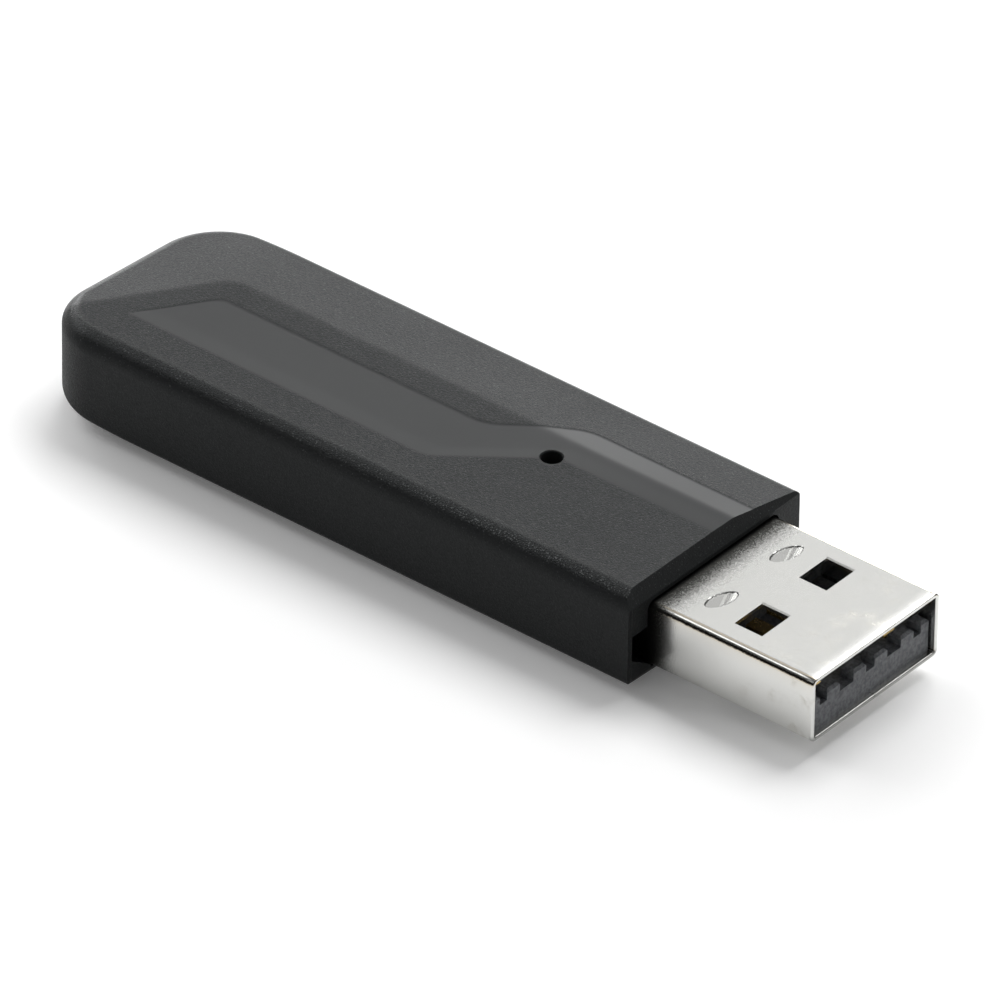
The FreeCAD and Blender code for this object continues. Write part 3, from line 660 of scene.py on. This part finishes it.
lock_x = tip_x - 4.0
slit_half, slit_bottom, slit_top = 0.03, 1.0, 1.55  # the tool goes through the lower sheet
seam = np.array([(plug_low.x, 0), (lock_x - 0.5, 0), (lock_x - 0.8, 1.1),
                 (lock_x + 0.8, 1.1), (lock_x + 0.5, 0), (tip_x + 1, 0)])
aside = np.array([(0, 1), (-1.3, 1), (-1.3, 1), (1.3, 1), (1.3, 1), (0, 1)]) * slit_half
slit = np.stack([seam - aside, seam + aside, seam + aside, seam - aside], axis=1)
levels = np.array([slit_bottom, slit_bottom, slit_top, slit_top])[None, :, None]
slit = np.concatenate([slit, np.broadcast_to(levels, (len(seam), 4, 1))], axis=2)
window_tools.append(mesh_piece("seam_tool", [band(*slit), cap(slit[0]), cap(slit[-1])]))
cut_away(plug_tube, window_tools)
shade(plug_tube, 20)
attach(plug_tube, "root")
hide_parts("plug_shell")
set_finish(plug_tube, "nickel_steel")

# %% [markdown]
# ## The insulator
#
# The tongue's solid is right as it is, but its edges are razor sharp. A copy of its mesh is
# merged into one closed skin and gets a small bevel, so that light catches the edges.

# %% Soft edges on the tongue


def softened_copy(node, name, width):
    """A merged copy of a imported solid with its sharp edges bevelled."""
    copy = bpy.data.objects.new(name, frame["nodes"][node].data.copy())
    bpy.context.scene.collection.objects.link(copy)
    merged = bmesh.new()
    merged.from_mesh(copy.data)
    bmesh.ops.remove_doubles(merged, verts=merged.verts, dist=0.002 * MM)
    bmesh.ops.dissolve_limit(merged, angle_limit=math.radians(1), verts=merged.verts,
                             edges=merged.edges)
    merged.to_mesh(copy.data)
    merged.free()
    bevel = copy.modifiers.new("bevel", "BEVEL")
    bevel.width = width * MM
    bevel.segments = 2
    bevel.limit_method = "ANGLE"
    bevel.angle_limit = math.radians(40)
    bevel.use_clamp_overlap = True
    print(name, len(copy.data.polygons), "faces before its bevel")
    return copy


tongue = softened_copy("plug_insulator", "tongue", 0.04)
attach(tongue, "root")
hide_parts("plug_insulator")
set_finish(tongue, "insulator_plastic")

# %% [markdown]
# ## Writing shaders as sums
#
# A material is a graph of nodes, but most of what it says is arithmetic. A small class wraps
# a socket, so that Python's own signs add the Math nodes.

# %% Sockets that can be added up


class Value:
    """A socket of a material, usable in Python sums with numbers and other values."""

    def __init__(self, graph, socket):
        self.graph = graph
        self.socket = socket

    def math(self, operation, first, second):
        """A Math node on two sockets or numbers."""
        return self.graph.add("ShaderNodeMath", {0: first, 1: second}, operation=operation)

    def __add__(self, other):
        return self.math("ADD", self, other)

    def __sub__(self, other):
        return self.math("SUBTRACT", self, other)

    def __rsub__(self, other):
        return self.math("SUBTRACT", other, self)

    def __mul__(self, other):
        return self.math("MULTIPLY", self, other)

    def __abs__(self):
        return self.math("ABSOLUTE", self, 0)

    __radd__ = __add__
    __rmul__ = __mul__


# %% [markdown]
# Every other node is added by one method, which takes the node's type, its settings and its
# inputs. The methods after it are short names for the nodes that this product needs most.

# %% The nodes of a material


class Graph:
    """The nodes of one material."""

    def __init__(self, name):
        self.material = bpy.data.materials.new(name)
        self.material.use_nodes = True
        self.tree = self.material.node_tree
        self.tree.nodes.clear()
        self.output = self.tree.nodes.new("ShaderNodeOutputMaterial")

    def add(self, kind, inputs=None, output=0, **settings):
        """Adds a node: its settings first, then the value or link of each named socket."""
        node = self.tree.nodes.new(kind)
        for name, value in settings.items():
            setattr(node, name, value)
        for name, value in (inputs or {}).items():
            if isinstance(value, Value):
                self.tree.links.new(value.socket, node.inputs[name])
            else:
                node.inputs[name].default_value = value
        return Value(self, node.outputs[output])

    def place(self):
        """The point on the object, in metres."""
        return self.add("ShaderNodeTexCoord", output="Object")

    def axes(self):
        """The three parts of the point on the object, in metres."""
        split = self.add("ShaderNodeSeparateXYZ", {0: self.place()})
        return [Value(self, socket) for socket in split.socket.node.outputs]

    def upward(self):
        """How far the surface faces up: one on a level top and nought on a wall."""
        normal = self.add("ShaderNodeNewGeometry", output="Normal")
        return self.add("ShaderNodeSeparateXYZ", {0: normal}, output=2)

    def mask(self, name):
        """A value that the mesh stores at each of its points."""
        return self.add("ShaderNodeAttribute", output="Fac", attribute_name=name)

    def noise(self, cell, detail=2.0, roughness=0.5):
        """Cloudy noise between nought and one, in lumps about a cell wide in millimetres."""
        inputs = {"Vector": self.place(), "Scale": 1 / (cell * MM), "Detail": detail,
                  "Roughness": roughness}
        return self.add("ShaderNodeTexNoise", inputs, output="Fac")

    def spread(self, value, low, high):
        """Nought below low, one above high, and a smooth step between them."""
        inputs = {"Value": value, "From Min": low, "From Max": high}
        return self.add("ShaderNodeMapRange", inputs, interpolation_type="SMOOTHSTEP")

    def span(self, value, start, end):
        """The same smooth step for a place, between a start and an end in millimetres."""
        return self.spread(value, start * MM, end * MM)

    def mix(self, share, first, second):
        """A colour between two colours."""
        colours = {6: first if isinstance(first, Value) else (*first, 1),
                   7: second if isinstance(second, Value) else (*second, 1)}
        return self.add("ShaderNodeMix", {0: share, **colours}, output=2, data_type="RGBA")

    def bump(self, height, depth, strength=1.0):
        """A normal from a height between nought and one that stands for a depth in mm."""
        inputs = {"Height": height, "Distance": depth * MM, "Strength": strength}
        return self.add("ShaderNodeBump", inputs, output="Normal")

    def surface(self, **sockets):
        """The finished surface: a Principled shader with each named socket set or linked."""
        inputs = {name.replace("_", " "): value for name, value in sockets.items()}
        for name in ("Base Color", "Emission Color"):
            if name in inputs and not isinstance(inputs[name], Value):
                inputs[name] = (*inputs[name], 1)
        shader = self.add("ShaderNodeBsdfPrincipled", inputs)
        self.tree.links.new(shader.socket, self.output.inputs["Surface"])
        print(self.material.name, "has", len(self.tree.nodes), "nodes")
        return self.material


# %% [markdown]
# ## Moulded black plastic
#
# The tool of this housing was spark eroded, so the plastic has a fine grain that breaks the
# light into a dull sheen with small glints. Three masks of the mesh change that. The panel
# was polished, so it loses the grain and gains a thin clear sheen, which fades towards the
# front. The rim is smoother than the roof, and the band on it that hands wear down has a
# stronger relief. Light flecks are painted over the open roof as glints, most of them in that
# band. The level top is a touch rougher than the slopes, and faint cloudiness keeps the large
# faces from looking computed.

# %% Housing plastic


def housing_plastic():
    """Dull grained plastic: roughness and relief from noise, eased on panel, rim and wear."""
    g = Graph("housing_plastic")
    panel, polish, wear = [g.mask(name) for name in mask_names]
    x = g.axes()[0]

    # Four noises, from large pale clouds to the glitter of single grains.
    cloud = g.noise(6.0, detail=4.0)
    grain = g.noise(0.07, detail=1.0, roughness=0.6)
    coarse = g.noise(0.13, detail=1.0)
    glint = g.noise(0.1, detail=0.0)

    # Where things happen: the wear grows towards the front, and the painted glints need the open
    # roof.
    wear_and_glint = wear * (0.4 + 0.6 * g.span(x + (cloud - 0.5) * (20 * MM), -12, 6))
    front = g.span(x, 2, 14)
    upward = g.upward()
    flat = g.spread(upward, 0.990, 0.998)
    open_roof = g.spread(upward, 0.1, 0.5) * (1 - panel)
    # Painted glints: sparse light flecks of colour on the open roof, standing in for glints of the
    # grain.
    painted_glint = g.spread(glint + wear_and_glint * 0.1, 0.73, 0.79) * open_roof

    # The grained part and the smooth panel each have a roughness, and the mask picks one.
    grained = 0.55 + flat * 0.055 + (cloud - 0.5) * 0.08 + (grain + coarse - 1) * 0.3
    smooth = 0.385 + front * flat * 0.07 + (cloud - 0.5) * 0.06
    rough = (grained - polish * 0.24) * (1 - panel) + panel * smooth
    relief = (grain * 0.6 + coarse * 0.4 - 0.5) * (1 - panel * 0.95)
    relief = relief + (glint - 0.5) * wear_and_glint * 1.1 + 0.5

    colour = g.mix(cloud, (0.0078, 0.0085, 0.0088), (0.0105, 0.0112, 0.0115))
    # The painted glints go into the colour, brighter in the wear band.
    colour = g.mix(painted_glint * (wear_and_glint * 0.6 + 0.4), colour, (0.085, 0.09, 0.09))
    sheen = panel * (0.12 - front * (flat * 0.05 + 0.07))
    return g.surface(Base_Color=colour, Roughness=rough, IOR=1.285,
                     Specular_Tint=(0.95, 0.99, 1.0, 1.0), Coat_Weight=sheen,
                     Coat_Roughness=0.3, Normal=g.bump(relief, 0.034))


finishes = {"housing_plastic": housing_plastic()}

# %% [markdown]
# ## Nickel-plated steel
#
# Rolled sheet has fine lines along the stick, and the plating has cloudy stains where
# fingers and sockets have touched it, mostly towards the mouth. Painted shade darkens the
# root, where the housing grips the plug and is mirrored darkly in it, and the foot of the
# mouth's edge is a little darker. A dark band is painted along the two long bends where the
# sheet mirrors something dark, with a tan tint on either side. The tilt of the surface tells
# a bend from the flat sides, so only the painted shade of the dimples needs a mask of its own.

# %% Plug metal


def nickel_steel():
    """Bright plating with faint lines, darkened in turn by stain, painted bend reflection, painted
    root and dimple shade.
    """
    g = Graph("nickel_steel")
    x, y, z = g.axes()

    # Stains, rolling lines and the fine grain that makes the borders of the painted shade ragged.
    blotch = g.spread(g.noise(1.6, detail=5.0, roughness=0.65), 0.5, 0.72)
    stain = blotch * (g.span(x, tip_x - 7, tip_x - 1) * 0.8 + 0.2)
    stretched = g.add("ShaderNodeMapping", {"Vector": g.place(), "Scale": (300, 9000, 9000)})
    streak = g.add("ShaderNodeTexNoise", {"Vector": stretched, "Scale": 1.0, "Detail": 3.0},
                   output="Fac")
    grain = g.noise(0.08, detail=2.0, roughness=0.7)

    # Where the marks go: painted shade at the root, a painted dark reflection in the two bends,
    # and a darker foot of the mouth's edge.
    root = 1 - g.span(x, front_x - 0.6, front_x + 3.2)
    # Painted shade at the root, standing in for the dark housing that the plating mirrors there.
    painted_root_shade = g.spread(root + (grain - 0.5) * 1.1, 0.15, 0.85)
    bend_y = plug_half - plug_corner
    at_bend = g.span(abs(y), bend_y - 0.1, bend_y)
    upward = g.upward()
    ragged = upward + (grain - 0.5) * 0.6
    # Painted dark reflection: a dark band along each bend at middle tilts, where the sheet mirrors
    # something dark.
    painted_bend_reflection = g.spread(ragged, 0.15, 0.28) * (1 - g.spread(ragged, 0.56, 0.68)) * at_bend
    bend_tan = g.spread(upward, 0.02, 0.1) * (1 - g.spread(upward, 0.99, 0.999)) * at_bend
    bend_tan = bend_tan * (1 - g.spread(upward, 0.4, 0.6) * (1 - g.spread(upward, 0.85, 0.95)))
    # The foot of the mouth's edge is darker: a low band at the tube's front end.
    at_foot = 1 - g.span(z, plug_bottom + 0.2, plug_bottom + 0.6)
    lip = g.span(x, tip_x - 0.25, tip_x - 0.1) * at_foot

    # Each layer covers the one before it.
    colour = g.mix(stain, (0.705, 0.705, 0.682), (0.56, 0.548, 0.51))
    colour = g.mix(bend_tan * 0.6, colour, (0.62, 0.53, 0.38))
    # Painted dark reflection along the bends.
    colour = g.mix(painted_bend_reflection, colour, (0.02, 0.017, 0.013))
    # Painted shade at the root.
    colour = g.mix(painted_root_shade, colour, (0.04, 0.04, 0.037))
    # Painted shade of the dimples, and the darker foot of the mouth's edge.
    colour = g.mix(g.mask("painted_dimple_shade") * 0.8 + lip * 0.6, colour, (0.15, 0.15, 0.145))
    rough = 0.18 + stain * 0.12 + (streak - 0.5) * 0.06 + painted_root_shade * 0.2
    relief = streak * 0.5 + blotch * 0.3 + grain * 0.15
    return g.surface(Base_Color=colour, Metallic=1.0, Roughness=rough,
                     Normal=g.bump(relief, 0.003, 0.3))


finishes["nickel_steel"] = nickel_steel()

# %% [markdown]
# ## The materials inside
#
# The board and its parts are closed in, but the part can be taken apart, so each gets a
# finish of its own. One recipe with different numbers serves them all: two shades mixed by
# noise, a roughness that wanders with it and a shallow bump.

# %% Plain finishes


def plain_finish(name, dark, light, cell, rough, depth, metallic=0.0, coat=0.0):
    """Two shades of one colour in a cloudy mix, with matching roughness and relief."""
    g = Graph(name)
    cloud = g.noise(cell, detail=4.0, roughness=0.6)
    fine = g.noise(cell / 8, detail=2.0)
    colour = g.mix(g.spread(cloud, 0.3, 0.7), dark, light)
    return g.surface(Base_Color=colour, Metallic=metallic, Coat_Weight=coat,
                     Roughness=rough + (fine - 0.5) * 0.15 + (cloud - 0.5) * 0.1,
                     Normal=g.bump(fine * 0.6 + cloud * 0.4, depth, 0.5))


# Of each finish: dark and light shade, cloud size, roughness, relief, metal and clear coat.
plain_finishes = {
    "insulator_plastic": ((0.05, 0.054, 0.06), (0.14, 0.145, 0.155), 0.25, 0.5, 0.02),
    "gold_contact": ((0.80, 0.56, 0.22), (0.90, 0.68, 0.32), 0.8, 0.25, 0.004, 1.0),
    "board_laminate": ((0.012, 0.10, 0.04), (0.02, 0.14, 0.06), 1.2, 0.35, 0.01, 0.0, 0.4),
    "trace_copper": ((0.75, 0.54, 0.25), (0.85, 0.64, 0.34), 0.6, 0.3, 0.006, 1.0),
    "chip_epoxy": ((0.022, 0.022, 0.024), (0.04, 0.04, 0.042), 0.3, 0.6, 0.01),
    "crystal_metal": ((0.66, 0.65, 0.61), (0.78, 0.77, 0.73), 0.7, 0.28, 0.004, 1.0),
    "component_ceramic": ((0.38, 0.26, 0.16), (0.5, 0.37, 0.24), 0.2, 0.5, 0.006),
    "clear_resin": ((0.62, 0.62, 0.56), (0.78, 0.78, 0.72), 0.5, 0.2, 0.003, 0.0, 0.5),
    "solder_tin": ((0.6, 0.6, 0.6), (0.75, 0.75, 0.75), 0.3, 0.3, 0.01, 1.0),
}
for name, numbers in plain_finishes.items():
    finishes[name] = plain_finish(name, *numbers)

# %% [markdown]
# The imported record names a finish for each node, so the nodes are dressed in one loop. The
# four new pieces carry the name of their finish with them.

# %% Dress every piece
slots = {part["node"]: part["material_slot"] for part in frame["record"]["subparts"]}
dressed = [(piece, slots[node]) for node, piece in frame["nodes"].items()]
dressed += [(piece, piece["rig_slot"]) for piece in (top_shell, bottom_shell, plug_tube, tongue)]
for piece, slot in dressed:
    piece.data.materials.clear()
    piece.data.materials.append(finishes[slot])
print("pieces dressed:", len(dressed))

# %% [markdown]
# ## Floor, light and camera
#
# The stick lies on a white sheet that fills the picture. The sheet takes shadows as any
# surface does, but what the camera, gloss and glass see of it also glows a little, so that
# it reads as pure white away from the stick without more light on the product.

# %% White floor
floor_reach = 3.0
floor_glow = (0.07, 0.07, 0.07)
ray_kinds = ("Camera", "Glossy", "Transmission")


def white_sheet():
    """White paper: the rays that show it see pure white with a glow, others plain paper."""
    g = Graph("white_sheet")
    rays = g.add("ShaderNodeLightPath").socket.node.outputs
    camera_ray, glossy_ray, clear_ray = [Value(g, rays[f"Is {kind} Ray"]) for kind in ray_kinds]
    seen = camera_ray + glossy_ray + clear_ray
    paper = g.mix(g.noise(0.8, detail=3.0), (0.80, 0.80, 0.80), (0.82, 0.82, 0.82))
    return g.surface(Base_Color=g.mix(seen, paper, (1, 1, 1)), Roughness=1.0,
                     Specular_IOR_Level=0.0, Emission_Strength=1.0,
                     Emission_Color=g.mix(seen, (0, 0, 0), floor_glow))


corner_signs = ((-1, -1), (1, -1), (1, 1), (-1, 1))
floor_corners = [(sx * floor_reach, sy * floor_reach, 0) for sx, sy in corner_signs]
floor_mesh = bpy.data.meshes.new("floor")
floor_mesh.from_pydata(floor_corners, [], [(0, 1, 2, 3)])
floor = bpy.data.objects.new("floor", floor_mesh)
bpy.context.scene.collection.objects.link(floor)
floor_mesh.materials.append(white_sheet())

# %% [markdown]
# A dark product shows its lamps as sheens, so each soft box stands where a face mirrors it to
# the camera: the back boxes for the roof, its slopes and the plug's top, the shoulder box
# for the rim, the left, right and fill boxes for the ends and the near side. The key box
# throws the shadow. The front and over boxes are dim, and light what this camera can't see.

# %% Lamps and world
lamp_distance = 1.0


def soft_box(name, direction, size, brightness):
    """An area lamp facing the stick: its power is the brightness times pi times its area."""
    lamp = bpy.data.lights.new(name, "AREA")
    lamp.shape = "RECTANGLE"
    lamp.size, lamp.size_y = size
    lamp.energy = brightness * math.pi * size[0] * size[1]
    holder = bpy.data.objects.new(name, lamp)
    bpy.context.scene.collection.objects.link(holder)
    away = Vector(direction).normalized()
    facing = away.to_track_quat("Z", "Y").to_matrix().to_4x4()
    holder.matrix_world = Matrix.Translation(away * lamp_distance) @ facing


# Of each soft box: its direction from the stick, its width and height, and its brightness.
soft_boxes = {
    "key_box": ((-0.06, 0.52, 0.85), (0.65, 0.55), 5.7),
    "back_low": ((-0.62, 0.76, 0.21), (0.9, 0.2), 8.7),
    "back_panel": ((-0.55, 0.67, 0.50), (0.9, 0.42), 0.785),
    "back_top": ((-0.50, 0.30, 0.80), (0.4, 0.3), 0.6),
    "shoulder_box": ((-0.55, -0.20, 0.81), (0.5, 0.24), 1.8),
    "fill_box": ((0.00, -0.82, 0.57), (0.8, 0.5), 0.62),
    "left_box": ((-0.85, 0.03, 0.53), (0.8, 0.6), 2.3),
    "front_box": ((0.66, -0.66, 0.36), (0.9, 0.4), 0.5),
    "over_box": ((0.03, -0.03, 0.99), (0.35, 0.35), 0.4),
    "right_box": ((0.75, 0.43, 0.50), (0.85, 0.6), 0.95),
}
for name, numbers in soft_boxes.items():
    soft_box(name, *numbers)

world = bpy.data.worlds.new("studio")
bpy.context.scene.world = world
world.use_nodes = True
sky = world.node_tree.nodes["Background"]
sky.inputs["Color"].default_value = (1, 1, 1, 1)
sky.inputs["Strength"].default_value = 0.08
print("lamps:", len(soft_boxes))

# %% [markdown]
# The size of a USB plug is a standard, so a pinhole camera could be fitted to the corners of
# the plug. It stands nearly a metre away with a long lens, so the long edges of the stick
# hardly run together. Its axes are the directions right, down and ahead in the picture.

# %% Camera
camera_place = (0.46455, -0.5746, 0.51825)
right = (0.7727, 0.6347, 0.0121)
down = (0.3711, -0.4362, -0.8198)
ahead = (-0.515, 0.6379, -0.5726)

camera = bpy.data.cameras.new("camera")
camera.sensor_width = 36
camera.lens = 542.2
camera.clip_end = 20
viewer = bpy.data.objects.new("camera", camera)
bpy.context.scene.collection.objects.link(viewer)
axes = Matrix([right, [-part for part in down], [-part for part in ahead]]).transposed()
viewer.matrix_world = Matrix.Translation(camera_place) @ axes.to_4x4()
bpy.context.scene.camera = viewer
bpy.context.scene.view_settings.view_transform = "Standard"
print("the camera is", round(Vector(camera_place).length, 2), "m away")

# %% [markdown]
# ## Updating the scene
#
# The view layer is updated once more, so that every piece stands where it was placed.

# %% Update the scene
bpy.context.view_layer.update()
